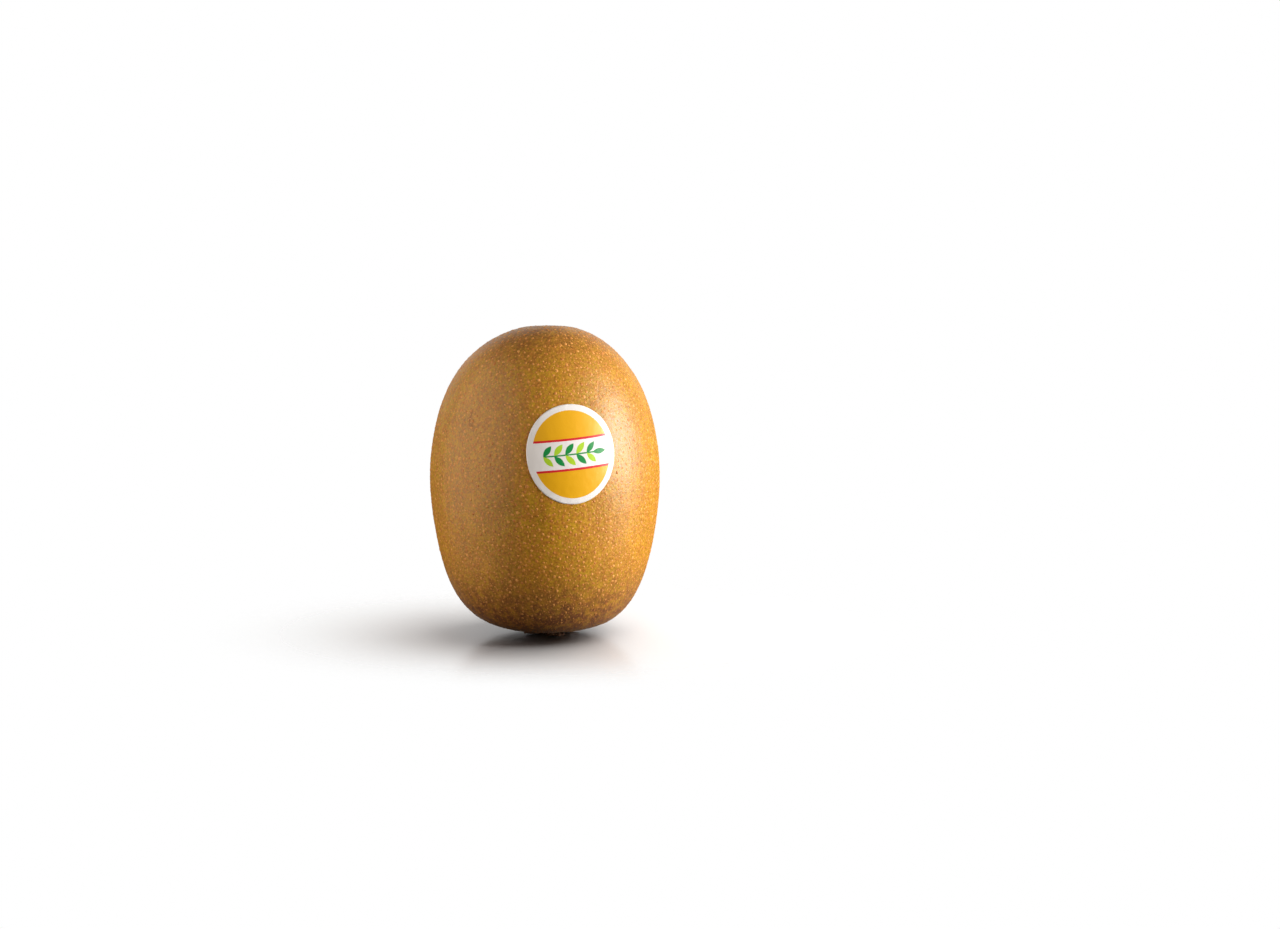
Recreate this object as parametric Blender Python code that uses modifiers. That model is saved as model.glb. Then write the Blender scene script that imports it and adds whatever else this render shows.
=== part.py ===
"""A golden kiwi fruit standing on its stalk end, with an oval sticker on its front.

Metres, +Z up. The origin is the centre of the flat spot that the fruit rests
on, X runs across its wider side, and the sticker faces -Y and a little to +X.
"""

import math
import random

import bmesh
import bpy
from mathutils import Matrix, Vector, noise

MM = 0.001

# The fruit's own size, without the dry calyx that it stands on
FRUIT_WIDTH = 52.6 * MM
FRUIT_DEPTH = 49.8 * MM
TOP_REACH = 35.4 * MM
BASE_REACH = 34.9 * MM

# How blunt each end is: 2 is an ellipse, and more is squarer
TOP_BLUNT = 2.2
BASE_BLUNT = 3.85

# The lower half narrows by this share of its width towards the flat base
BASE_TAPER = 0.2

# The dry calyx lifts the skin this far off the table
FOOT_HEIGHT = 1.35 * MM
WIDEST_HEIGHT = FOOT_HEIGHT + BASE_REACH

# Small departures from a turned form: the belly and the tip are not right above the foot, and
# the blossom end leans back, so that its dimple faces away from the front
BELLY_SHIFT = -0.9 * MM
TIP_SHIFT = 1.1 * MM
TIP_LEAN = math.radians(12)
LOBES = ((3, 0.9, 0.003), (5, 2.2, 0.002))
WAVE_LENGTH = 15 * MM
WAVE_HEIGHT = 0.18 * MM

# The dimple round the dry styles, and the shallow seat over the stalk scar
DIMPLE_DEPTH = 2.6 * MM
DIMPLE_RADIUS = 2.5 * MM
SEAT_DEPTH = 0.9 * MM
SEAT_RADIUS = 3.6 * MM

# Faces round the fruit and down it, closer together at both ends
SEGMENTS = 72
RINGS = 50
CROWDING = 0.27

# Solids that touch keep this much apart
GAP = 0.3 * MM

# The calyx: a round woody stalk scar and its dry sepals, which the table wears flat
SCAR_RADIUS = 3.0 * MM
SCAR_TOP_RADIUS = 2.6 * MM
SCAR_HEIGHT = 1.45 * MM
SEPALS = 5
SEPAL_LENGTH = 4.6 * MM
SEPAL_WIDTH = 3.5 * MM
SEPAL_TIP_NARROWING = 0.55
SEPAL_THICKNESS = 1.05 * MM
SEPAL_MIDDLE_HEIGHT = 0.38 * MM
SEPAL_DISTANCE = 4.2 * MM
CALYX_SEED = 7

# The dry styles: a crust in the dimple, and rings of stubs that lean outwards from it.
# A ring is its number of stubs, its radius at their roots, and their lean in degrees.
CRUST_RADIUS = 1.15 * MM
CRUST_FOOT_RADIUS = 0.5 * MM
CRUST_HEIGHT = 0.4 * MM
CRUST_LIFT = 0.7 * MM
STYLE_RINGS = ((3, 0.35 * MM, 10), (8, 0.8 * MM, 25))
STYLE_ROOT_HEIGHT = 0.3 * MM
STYLE_LENGTH = 0.85 * MM
STYLE_THICKNESS = 0.5 * MM
STYLE_TIP_THICKNESS = 0.35 * MM
STYLES_SEED = 4

# The sticker: an oval film wrapped on the front
STICKER_WIDTH = 20.6 * MM
STICKER_HEIGHT = 22.4 * MM
STICKER_THICKNESS = 0.3 * MM
STICKER_LONGITUDE = math.radians(-74.5)
STICKER_POLAR = math.radians(69.7)
STICKER_CELLS = 14
WALK_STEPS = 12


def clear_scene():
    for obj in list(bpy.data.objects):
        bpy.data.objects.remove(obj)


def new_collection(name):
    collection = bpy.data.collections.new(name)
    bpy.context.scene.collection.children.link(collection)
    return collection


def linear(hex_colour):
    """The linear colour of an sRGB value such as "a5733d"."""
    channels = [int(hex_colour[i : i + 2], 16) / 255 for i in (0, 2, 4)]
    return [c / 12.92 if c <= 0.04045 else ((c + 0.055) / 1.055) ** 2.4 for c in channels]


def new_material(name, hex_colour, roughness):
    material = bpy.data.materials.new(name)
    material.use_nodes = True
    shader = material.node_tree.nodes["Principled BSDF"]
    shader.inputs["Base Color"].default_value = (*linear(hex_colour), 1)
    shader.inputs["Roughness"].default_value = roughness
    shader.inputs["Metallic"].default_value = 0
    return material


def object_from(mesh_maker, name, collection):
    """A new object whose mesh is what mesh_maker(bm) makes."""
    bm = bmesh.new()
    mesh_maker(bm)
    bmesh.ops.recalc_face_normals(bm, faces=bm.faces)
    mesh = bpy.data.meshes.new(name)
    bm.to_mesh(mesh)
    bm.free()
    obj = bpy.data.objects.new(name, mesh)
    collection.objects.link(obj)
    return obj


def finish_surface(obj, material):
    obj.data.materials.clear()
    obj.data.materials.append(material)
    obj.data.shade_smooth()
    obj.data.set_sharp_from_angle(angle=math.radians(40))


# The form of the skin


def skin_point(longitude, polar):
    """The point of the skin at that longitude, with polar measured down from the blossom end."""
    side, up = math.sin(polar), math.cos(polar)
    blunt, reach = (TOP_BLUNT, TOP_REACH) if up > 0 else (BASE_BLUNT, BASE_REACH)
    radius = ((side / (FRUIT_WIDTH / 2)) ** blunt + (abs(up) / reach) ** blunt) ** (-1 / blunt)
    ring, height = radius * side, radius * up
    lobes = sum(swell * math.cos(count * longitude + turn) for count, turn, swell in LOBES)
    ring *= 1 + lobes * side**2
    if up > 0:
        height -= DIMPLE_DEPTH * math.exp(-((ring / DIMPLE_RADIUS) ** 2))
        height -= math.tan(TIP_LEAN) * ring * math.sin(longitude) * up**8
        shift = BELLY_SHIFT + TIP_SHIFT * up**12
    else:
        height += SEAT_DEPTH * math.exp(-((ring / SEAT_RADIUS) ** 4))
        ring *= 1 - BASE_TAPER * up**2
        shift = BELLY_SHIFT * (1 - up**6)
    x = ring * math.cos(longitude) + shift
    y = ring * math.sin(longitude) * FRUIT_DEPTH / FRUIT_WIDTH
    point = Vector((x, y, WIDEST_HEIGHT + height))
    outward = Vector((math.cos(longitude) * side, math.sin(longitude) * side, 0))
    return point + outward * side * WAVE_HEIGHT * noise.noise(point / WAVE_LENGTH)


def skin_slopes(longitude, polar):
    """How far the skin's point moves per radian, down a meridian and then round the fruit."""
    step = 1e-3
    down = skin_point(longitude, polar + step) - skin_point(longitude, polar - step)
    around = skin_point(longitude + step, polar) - skin_point(longitude - step, polar)
    return down / (2 * step), around / (2 * step)


def polar_after_walk(longitude, polar, distance):
    """The polar angle reached by walking that far up the skin along a meridian."""
    for _ in range(WALK_STEPS):
        down, around = skin_slopes(longitude, polar)
        polar -= distance / WALK_STEPS / down.length
    return polar


def make_fruit(collection):
    def shape(bm):
        bmesh.ops.create_uvsphere(bm, u_segments=SEGMENTS, v_segments=RINGS, radius=1)
        for vert in bm.verts:
            longitude = math.atan2(vert.co.y, vert.co.x)
            polar = math.acos(max(-1, min(1, vert.co.z)))
            vert.co = skin_point(longitude, polar - CROWDING * math.sin(2 * polar))

    fruit = object_from(shape, "fruit", collection)
    finish_surface(fruit, new_material("kiwi_skin", "a5733d", 0.45))
    return fruit


# The calyx


def make_scar(collection):
    """The woody disc where the stalk broke off. Its underside is the flat spot at the origin."""

    def shape(bm):
        bmesh.ops.create_cone(
            bm,
            cap_ends=True,
            segments=28,
            radius1=SCAR_RADIUS,
            radius2=SCAR_TOP_RADIUS,
            depth=SCAR_HEIGHT,
            matrix=Matrix.Translation((0, 0, SCAR_HEIGHT / 2)),
        )

    return object_from(shape, "stalk_scar", collection)


def make_sepal(index, draw, collection):
    """A dry sepal pressed under the skin: a flat leaf that narrows to its tip."""
    length = SEPAL_LENGTH * draw.uniform(0.9, 1.1)
    width = SEPAL_WIDTH * draw.uniform(0.9, 1.08)
    angle = math.tau * index / SEPALS + draw.uniform(-0.12, 0.12)

    def shape(bm):
        bmesh.ops.create_uvsphere(bm, u_segments=14, v_segments=8, radius=0.5)
        for vert in bm.verts:
            taper = 1 - SEPAL_TIP_NARROWING * max(vert.co.x, 0)
            vert.co = vert.co * Vector((length, width * taper, SEPAL_THICKNESS))
        lift = Matrix.Translation((SEPAL_DISTANCE, 0, SEPAL_MIDDLE_HEIGHT))
        turn = Matrix.Rotation(angle, 4, "Z")
        bmesh.ops.transform(bm, matrix=turn @ lift, verts=bm.verts)

    return object_from(shape, f"sepal_{index}", collection)


def make_table_cutter(collection):
    """A block whose top is the table, so that what it cuts gets a flat foot at height 0."""
    depth = 10 * MM

    def shape(bm):
        bmesh.ops.create_cube(bm, size=1)
        bmesh.ops.scale(bm, vec=(40 * MM, 40 * MM, depth), verts=bm.verts)
        bmesh.ops.translate(bm, vec=(0, 0, -depth / 2), verts=bm.verts)

    cutter = object_from(shape, "table_cutter", collection)
    cutter.hide_render = True
    cutter.display_type = "WIRE"
    return cutter


def fuse(body, pieces):
    """Joins the objects of the collection pieces to body, in one solid, and removes them."""
    union = body.modifiers.new("join", "BOOLEAN")
    union.operation = "UNION"
    union.solver = "EXACT"
    union.operand_type = "COLLECTION"
    union.collection = pieces
    bpy.context.view_layer.update()
    graph = bpy.context.evaluated_depsgraph_get()
    body.data = bpy.data.meshes.new_from_object(body.evaluated_get(graph))
    body.modifiers.clear()
    for piece in list(pieces.objects):
        bpy.data.objects.remove(piece)
    bpy.data.collections.remove(pieces)


def make_calyx(collection, cutters):
    draw = random.Random(CALYX_SEED)
    calyx = make_scar(collection)
    calyx.name = "calyx"
    sepals = new_collection("sepals")
    for index in range(SEPALS):
        make_sepal(index, draw, sepals)
    fuse(calyx, sepals)
    foot = calyx.modifiers.new("flat foot", "BOOLEAN")
    foot.operation = "DIFFERENCE"
    foot.solver = "EXACT"
    foot.object = make_table_cutter(cutters)
    finish_surface(calyx, new_material("dry_sepal", "6b4322", 0.8))
    return calyx


# The dry styles


def dimple_frame(lift):
    """The place that far above the lowest point of the dimple, leaning back as the tip does."""
    lean = Matrix.Rotation(-TIP_LEAN, 4, "X")
    return Matrix.Translation(skin_point(0, 0)) @ lean @ Matrix.Translation((0, 0, lift))


def make_crust(collection):
    """The hard disc in the dimple that the styles grow from."""

    def shape(bm):
        bmesh.ops.create_cone(
            bm,
            cap_ends=True,
            segments=20,
            radius1=CRUST_FOOT_RADIUS,
            radius2=CRUST_RADIUS,
            depth=CRUST_HEIGHT,
            matrix=dimple_frame(CRUST_LIFT + CRUST_HEIGHT / 2),
        )

    return object_from(shape, "styles", collection)


def make_style(name, angle, root, lean, length, collection):
    """One dry style: a thin cone that leans away from the axis."""

    def shape(bm):
        bmesh.ops.create_cone(
            bm,
            cap_ends=True,
            segments=5,
            radius1=STYLE_THICKNESS / 2,
            radius2=STYLE_TIP_THICKNESS / 2,
            depth=length,
            matrix=Matrix.Translation((0, 0, length / 2)),
        )
        place = dimple_frame(CRUST_LIFT + STYLE_ROOT_HEIGHT) @ Matrix.Rotation(angle, 4, "Z")
        place = place @ Matrix.Translation((root, 0, 0)) @ Matrix.Rotation(lean, 4, "Y")
        bmesh.ops.transform(bm, matrix=place, verts=bm.verts)

    return object_from(shape, name, collection)


def make_styles(collection):
    draw = random.Random(STYLES_SEED)
    styles = make_crust(collection)
    stubs = new_collection("stubs")
    for ring, (count, root, lean) in enumerate(STYLE_RINGS):
        for index in range(count):
            angle = math.tau * (index + 0.5 * ring) / count + draw.uniform(-0.1, 0.1)
            tilt = math.radians(lean + draw.uniform(-6, 6))
            length = STYLE_LENGTH * draw.uniform(0.85, 1.1)
            make_style(f"stub_{ring}_{index}", angle, root, tilt, length, stubs)
    fuse(styles, stubs)
    finish_surface(styles, new_material("dry_style", "4a2d18", 0.85))
    return styles


# The sticker


def sticker_point(across, up, lift):
    """The point that far across and up from the sticker's centre, measured along the skin."""
    polar = polar_after_walk(STICKER_LONGITUDE, STICKER_POLAR, up)
    down, around = skin_slopes(STICKER_LONGITUDE, polar)
    longitude = STICKER_LONGITUDE + across / around.length
    down, around = skin_slopes(longitude, polar)
    return skin_point(longitude, polar) + down.cross(around).normalized() * lift


def make_sticker(collection):
    """An oval film: a square grid rounded to an oval, wrapped on the skin, and thickened."""

    def shape(bm):
        bmesh.ops.create_grid(bm, x_segments=STICKER_CELLS, y_segments=STICKER_CELLS, size=1)
        for vert in bm.verts:
            x, y = vert.co.x, vert.co.y
            across = x * math.sqrt(1 - y * y / 2) * STICKER_WIDTH / 2
            up = y * math.sqrt(1 - x * x / 2) * STICKER_HEIGHT / 2
            vert.co = sticker_point(across, up, GAP + STICKER_THICKNESS)

    sticker = object_from(shape, "sticker", collection)
    film = sticker.modifiers.new("film", "SOLIDIFY")
    film.thickness = STICKER_THICKNESS
    film.offset = -1
    finish_surface(sticker, new_material("label_film", "e9b21c", 0.35))
    return sticker


def main():
    clear_scene()
    parts = new_collection("golden_kiwi_fruit")
    cutters = new_collection("cutters")
    make_fruit(parts)
    make_calyx(parts, cutters)
    make_styles(parts)
    make_sticker(parts)


main()
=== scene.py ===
# %% [markdown]
# # A golden kiwi fruit
#
# This lesson dresses the plain solids of one kiwi fruit, so that they look like the fruit on a
# photographer's white table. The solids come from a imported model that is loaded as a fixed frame.
# They say how big the fruit is and where it stands. Everything that the eye enjoys is made here: the
# golden-brown skin, the corky dots on it, the dry parts at both ends, the sticker and the light.

import math
import random

import bpy
from mathutils import Matrix, Vector, noise
from mathutils.bvhtree import BVHTree


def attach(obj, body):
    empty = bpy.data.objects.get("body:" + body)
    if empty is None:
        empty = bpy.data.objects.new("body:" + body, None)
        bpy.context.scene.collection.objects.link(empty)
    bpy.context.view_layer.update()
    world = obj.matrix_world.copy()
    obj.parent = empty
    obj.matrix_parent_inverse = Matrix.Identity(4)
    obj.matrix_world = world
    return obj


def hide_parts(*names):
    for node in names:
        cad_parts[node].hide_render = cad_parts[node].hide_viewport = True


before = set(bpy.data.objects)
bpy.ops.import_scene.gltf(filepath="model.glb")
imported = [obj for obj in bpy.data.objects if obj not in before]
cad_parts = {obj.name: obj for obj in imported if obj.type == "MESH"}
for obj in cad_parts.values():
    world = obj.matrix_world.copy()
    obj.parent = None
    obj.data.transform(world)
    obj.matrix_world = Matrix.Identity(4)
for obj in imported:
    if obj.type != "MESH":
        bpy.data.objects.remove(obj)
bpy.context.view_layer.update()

# %% [markdown]
# ## Sizes
#
# Blender's unit here is the metre, and a fruit is easier to think about in millimetres, so each size
# is written as a number times MM. The measures of the skin are the same ones that shaped the solid.

# %% The fruit's measures
MM = 0.001

FRUIT_WIDTH = 52.6 * MM
FRUIT_DEPTH = 49.8 * MM
TOP_REACH = 35.4 * MM
BASE_REACH = 34.9 * MM
TOP_BLUNT = 2.2  # 2 is an ellipse, and more is squarer
BASE_BLUNT = 3.85
BASE_TAPER = 0.2
FOOT_HEIGHT = 1.35 * MM
WIDEST_HEIGHT = FOOT_HEIGHT + BASE_REACH
BELLY_SHIFT = -0.9 * MM
TIP_SHIFT = 1.1 * MM
TIP_LEAN = math.radians(12)
LOBES = ((3, 0.9, 0.003), (5, 2.2, 0.002))  # how many, how far turned, how high
WAVE_LENGTH = 15 * MM
WAVE_HEIGHT = 0.18 * MM
DIMPLE_DEPTH = 2.6 * MM
DIMPLE_RADIUS = 2.5 * MM
SEAT_DEPTH = 0.9 * MM
SEAT_RADIUS = 3.6 * MM
POLE = 1e-5  # an angle so small that it stands for the very end
print("the skin is widest", round(WIDEST_HEIGHT / MM, 1), "mm above the table")

# %% [markdown]
# ## The form of the skin
#
# A kiwi fruit is nearly turned, like a vase, but nothing about it is exact. One formula gives the point
# of the skin at any longitude and at any angle down from the blossom end. Writing the form as a formula,
# and not as a mesh, lets every later step ask it where the skin is: the dots sit on it, the sticker is
# wrapped on it, and the dry parts at the ends are fitted to it.

# %% A point of the skin
def skin_point(longitude, polar):
    """The point of the skin at that longitude, with polar measured down from the blossom end."""
    side, up = math.sin(polar), math.cos(polar)
    blunt, reach = (TOP_BLUNT, TOP_REACH) if up > 0 else (BASE_BLUNT, BASE_REACH)
    radius = ((side / (FRUIT_WIDTH / 2)) ** blunt + (abs(up) / reach) ** blunt) ** (-1 / blunt)
    ring, height = radius * side, radius * up
    lobes = sum(swell * math.cos(count * longitude + turn) for count, turn, swell in LOBES)
    ring *= 1 + lobes * side**2
    if up > 0:
        height -= DIMPLE_DEPTH * math.exp(-((ring / DIMPLE_RADIUS) ** 2))
        height -= math.tan(TIP_LEAN) * ring * math.sin(longitude) * up**8
        shift = BELLY_SHIFT + TIP_SHIFT * up**12
    else:
        height += SEAT_DEPTH * math.exp(-((ring / SEAT_RADIUS) ** 4))
        ring *= 1 - BASE_TAPER * up**2
        shift = BELLY_SHIFT * (1 - up**6)
    x = ring * math.cos(longitude) + shift
    y = ring * math.sin(longitude) * FRUIT_DEPTH / FRUIT_WIDTH
    point = Vector((x, y, WIDEST_HEIGHT + height))
    outward = Vector((math.cos(longitude) * side, math.sin(longitude) * side, 0))
    return point + outward * side * WAVE_HEIGHT * noise.noise(point / WAVE_LENGTH)


def skin_slopes(longitude, polar):
    """How far the skin's point moves per radian, down a meridian and then round the fruit."""
    step = 1e-3
    down = skin_point(longitude, polar + step) - skin_point(longitude, polar - step)
    around = skin_point(longitude + step, polar) - skin_point(longitude - step, polar)
    return down / (2 * step), around / (2 * step)


def skin_normal(longitude, polar):
    """The direction straight out of the skin."""
    down, around = skin_slopes(longitude, polar)
    return down.cross(around).normalized()


print("the dimple's floor is at", [round(c / MM, 1) for c in skin_point(0, POLE)], "mm")

# %% [markdown]
# ## Colours and nodes
#
# Colours are easiest to pick as the hex values that a paint program shows. Those are sRGB, and a
# shader works in linear light, so one function turns the first into the second. A second function adds
# a shader node, sets what it is given, and links whatever is a socket. A third says how often a pattern
# repeats, so that each pattern's scale can be given as the real size of its features in millimetres.

# %% Small helpers for materials
def linear(hex_colour):
    """The linear RGBA colour of an sRGB value such as "a5733d"."""
    channels = [int(hex_colour[i : i + 2], 16) / 255 for i in (0, 2, 4)]
    return (*[c / 12.92 if c <= 0.04045 else ((c + 0.055) / 1.055) ** 2.4 for c in channels], 1)


def add_node(tree, kind, inputs=(), **settings):
    """Adds a shader node. Each input is a socket to link or a value to set."""
    node = tree.nodes.new("ShaderNode" + kind)
    for name, value in settings.items():
        setattr(node, name, value)
    for socket, value in dict(inputs).items():
        if isinstance(value, bpy.types.NodeSocket):
            tree.links.new(value, node.inputs[socket])
        else:
            node.inputs[socket].default_value = value
    return node


def every(size_mm):
    """The texture scale at which a pattern repeats about once in that many millimetres."""
    return 1 / (size_mm * MM)


def new_material(name, **settings):
    """A material with one Principled shader, and that shader's even settings."""
    material = bpy.data.materials.new(name)
    material.use_nodes = True
    shader = material.node_tree.nodes["Principled BSDF"]
    for socket, value in settings.items():
        shader.inputs[socket.replace("_", " ")].default_value = value
    return material, material.node_tree, shader


print("half grey is", round(linear("808080")[0], 3), "in linear light")

# %% [markdown]
# ## The skin's material
#
# The outside of a golden kiwi fruit is periderm: a few layers of dry cork cells, a tenth of a millimetre
# thick, over green-gold flesh. Cork gives a warm brown with a satin gloss that is soft and never
# mirror-like. Where the cork is thinner, the flesh shows through as olive-gold. Where it was rubbed by a
# leaf or a twig, it healed as a rough darker scuff. The skin stretched upwards as the fruit grew, so its
# finest marks run from end to end. The last of its down lies on it as a pale sheen at the edges.
#
# Noise textures give each of these at its own real size. They read the object's own coordinates, so
# the pattern is solid, has no seams, and stays on the fruit from every side.

# %% Periderm, golden brown
# Size in millimetres, detail, where the noise starts to show and shows in full, how much, colour
SKIN_PATCHES = (
    (17, 3, 0.42, 0.68, 0.75, "ab8616"),
    (7, 4, 0.4, 0.7, 0.6, "9c6d1c"),
    (1.1, 3, 0.42, 0.64, 0.85, "a86b20"),
)


def kiwi_skin():
    """Golden brown in layers of noise; darker ends, partly painted shade; healed scuffs; a leathery
    relief.
    """
    material, tree, shader = new_material("periderm_golden_kiwi", IOR=1.45, Sheen_Weight=0.07)
    shader.inputs["Sheen Roughness"].default_value = 0.45
    shader.inputs["Sheen Tint"].default_value = linear("e8d6c8")
    place = add_node(tree, "TexCoord").outputs["Object"]
    height = add_node(tree, "SeparateXYZ", {0: place}).outputs["Z"]

    # The long marks: noise drawn out upwards to about eight times its size
    upright = add_node(tree, "Mapping", {"Vector": place, "Scale": (1, 1, 0.13)}).outputs[0]
    streaks = add_node(tree, "TexNoise", {"Vector": upright, "Scale": every(1.5), "Detail": 3})
    bands = add_node(tree, "TexNoise", {"Vector": upright, "Scale": every(6), "Detail": 2})

    # Where flesh shows through, where the cork is thick, and where pores have browned the skin
    colour = linear("b5811c")
    for size, detail, first, full, most, hue in SKIN_PATCHES:
        pattern = add_node(
            tree, "TexNoise", {"Vector": place, "Scale": every(size), "Detail": detail}
        )
        share = add_node(
            tree, "MapRange", {0: pattern.outputs[0], 1: first, 2: full, 3: 0, 4: most}
        ).outputs[0]
        colour = add_node(tree, "MixRGB", {0: share, 1: colour, 2: linear(hue)}).outputs[0]

    # Streaks, bands and grain lighten and darken it. The grain is the cork's own, drawn three times
    # as coarse as it is so that it shows
    grain = add_node(tree, "TexNoise", {"Vector": place, "Scale": every(0.5), "Detail": 3})
    shade = 1
    for marks, dark, light in ((streaks, 0.94, 1.06), (bands, 0.95, 1.05), (grain, 0.74, 1.3)):
        strength = add_node(
            tree, "MapRange", {0: marks.outputs[0], 1: 0.3, 2: 0.7, 3: dark, 4: light}
        ).outputs[0]
        shade = add_node(tree, "Math", {0: shade, 1: strength}, operation="MULTIPLY").outputs[0]

    # Both ends are darker in broken patches, the lower one most. Near the base this is partly the skin's
    # own browning and partly painted shade, standing in for the shade on the underside that faces the
    # table
    base_browning_and_shade = add_node(
        tree,
        "MapRange",
        {0: height, 1: 2 * MM, 2: 24 * MM, 3: 0.95, 4: 0},
        interpolation_type="SMOOTHSTEP",
    ).outputs[0]
    top_darkening = add_node(
        tree,
        "MapRange",
        {0: height, 1: 61 * MM, 2: 71 * MM, 3: 0, 4: 0.42},
        interpolation_type="SMOOTHSTEP",
    ).outputs[0]
    ends_browning_and_shade = add_node(tree, "Math", {0: base_browning_and_shade, 1: top_darkening}, operation="ADD").outputs[0]
    russet = add_node(tree, "TexNoise", {"Vector": place, "Scale": every(1.8), "Detail": 6})
    broken = add_node(
        tree, "MapRange", {0: russet.outputs[0], 1: 0.36, 2: 0.62, 3: 0.55, 4: 1.35}
    ).outputs[0]
    ends_browning_and_shade = add_node(tree, "Math", {0: ends_browning_and_shade, 1: broken}, operation="MULTIPLY").outputs[0]
    # The dark brown mixed in here is partly painted shade at the base
    colour = add_node(tree, "MixRGB", {0: ends_browning_and_shade, 1: colour, 2: linear("6e401c")}).outputs[0]
    colour = add_node(
        tree, "VectorMath", {0: colour, 1: shade}, operation="MULTIPLY"
    ).outputs[0]

    # A few healed scuffs, drawn out upwards, with ragged edges
    torn = add_node(tree, "Mapping", {"Vector": place, "Scale": (1, 1, 0.6)}).outputs[0]
    scuffs = add_node(
        tree, "TexNoise", {"Vector": torn, "Scale": every(9), "Detail": 8, "Roughness": 0.7}
    )
    scuff = add_node(
        tree, "MapRange", {0: scuffs.outputs[0], 1: 0.635, 2: 0.7, 3: 0, 4: 0.7}
    ).outputs[0]
    colour = add_node(tree, "MixRGB", {0: scuff, 1: colour, 2: linear("7f4a26")}).outputs[0]
    tree.links.new(colour, shader.inputs["Base Color"])

    # Gloss is broken up by the grain, and scuffs are dull
    rough = add_node(
        tree, "MapRange", {0: grain.outputs[0], 1: 0.25, 2: 0.75, 3: 0.33, 4: 0.52}
    ).outputs[0]
    rough = add_node(
        tree, "Math", {0: scuff, 1: 0.25, 2: rough}, operation="MULTIPLY_ADD"
    ).outputs[0]
    tree.links.new(rough, shader.inputs["Roughness"])

    # Relief: leathery cells half a millimetre across, and fine upright wrinkles
    cells = add_node(
        tree, "TexVoronoi", {"Vector": place, "Scale": every(0.55)}, feature="SMOOTH_F1"
    )
    relief = add_node(
        tree, "Math", {0: grain.outputs[0], 1: cells.outputs["Distance"]}, operation="SUBTRACT"
    ).outputs[0]
    bump = add_node(
        tree, "Bump", {"Height": relief, "Distance": 0.05 * MM, "Strength": 0.7}
    ).outputs[0]
    bump = add_node(
        tree,
        "Bump",
        {"Height": streaks.outputs[0], "Distance": 0.12 * MM, "Strength": 0.6, "Normal": bump},
    ).outputs[0]
    tree.links.new(bump, shader.inputs["Normal"])
    return material


SKIN = kiwi_skin()
print(SKIN.name, "has", len(SKIN.node_tree.nodes), "nodes")

# %% [markdown]
# ## The skin's mesh
#
# The solid's faces are about two millimetres across, which shows as flats at the outline. The skin is
# built again with cells of 0.4 mm, from the same formula. Its rows crowd together at both ends, where
# the dimple and the seat curve fast. A slow swelling of a few hundredths of a millimetre is added
# along the skin's own direction, so that a highlight on it wanders as it does on grown things.

# %% Build the skin
SKIN_COLUMNS = 390
SKIN_ROWS = 236
CROWDING = 0.2
SWELLINGS = ((5 * MM, 0.05 * MM), (2.2 * MM, 0.018 * MM))  # how long, how high


def new_piece(name, points, faces, material, node=None):
    """A smooth mesh piece that rides on the fruit, and that stands for a node if one is named."""
    mesh = bpy.data.meshes.new(name)
    mesh.from_pydata(points, [], faces)
    mesh.validate()
    mesh.shade_smooth()
    mesh.materials.append(material)
    piece = bpy.data.objects.new(name, mesh)
    bpy.context.scene.collection.objects.link(piece)
    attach(piece, "root")
    if node:
        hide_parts(node)
    print(name, "has", len(mesh.vertices), "points and", len(mesh.polygons), "faces")
    return piece


def ring_faces(rings, sides, closed=False):
    """The faces between rings of points that lie round point 0, and round a last one if closed."""

    def index(ring, side):
        return 1 + (ring - 1) * sides + side % sides

    faces = []
    for side in range(sides):
        faces.append((0, index(1, side), index(1, side + 1)))
        for ring in range(1, rings):
            corners = ((ring, side), (ring + 1, side), (ring + 1, side + 1), (ring, side + 1))
            faces.append(tuple(index(*corner) for corner in corners))
        if closed:
            faces.append((index(rings, side), 1 + rings * sides, index(rings, side + 1)))
    return faces


def swollen_point(longitude, polar):
    """The skin's point with its slow swelling."""
    point = skin_point(longitude, polar)
    swelling = sum(rise * noise.noise(point / size) for size, rise in SWELLINGS)
    return point + skin_normal(longitude, polar) * swelling


def build_skin():
    """Rows of cells from the blossom end to the stalk end, closed by a point at each."""
    points = [skin_point(0, POLE)]
    for row in range(1, SKIN_ROWS):
        even = math.pi * row / SKIN_ROWS
        polar = even - CROWDING * math.sin(2 * even)
        for column in range(SKIN_COLUMNS):
            points.append(swollen_point(math.tau * column / SKIN_COLUMNS, polar))
    points.append(skin_point(0, math.pi - POLE))
    faces = ring_faces(SKIN_ROWS - 1, SKIN_COLUMNS, closed=True)
    return new_piece("skin", points, faces, SKIN, "fruit")


skin = build_skin()

# %% [markdown]
# ## The sticker's place
#
# The sticker comes before the skin's dots, because no dot may poke through it. It is an oval of film,
# a little taller than wide, stuck on the front and a little to the right. To wrap it, each of its
# points is a walk along the skin: up or down a meridian, and then round the fruit. The skin's slopes
# turn millimetres into angles.

# %% Measure along the skin
STICKER_WIDTH = 20.6 * MM
STICKER_HEIGHT = 22.4 * MM
STICKER_LONGITUDE = math.radians(-74.5)
STICKER_POLAR = math.radians(69.7)
WALK_STEPS = 12


def walked(across, up):
    """The longitude and polar angle reached by walking that far from the sticker's centre."""
    polar = STICKER_POLAR
    for _ in range(WALK_STEPS):
        down, around = skin_slopes(STICKER_LONGITUDE, polar)
        polar -= up / WALK_STEPS / down.length
    down, around = skin_slopes(STICKER_LONGITUDE, polar)
    return STICKER_LONGITUDE + across / around.length, polar


sticker_centre = skin_point(STICKER_LONGITUDE, STICKER_POLAR)
print("the sticker's centre is at", [round(c / MM, 1) for c in sticker_centre], "mm")

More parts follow.
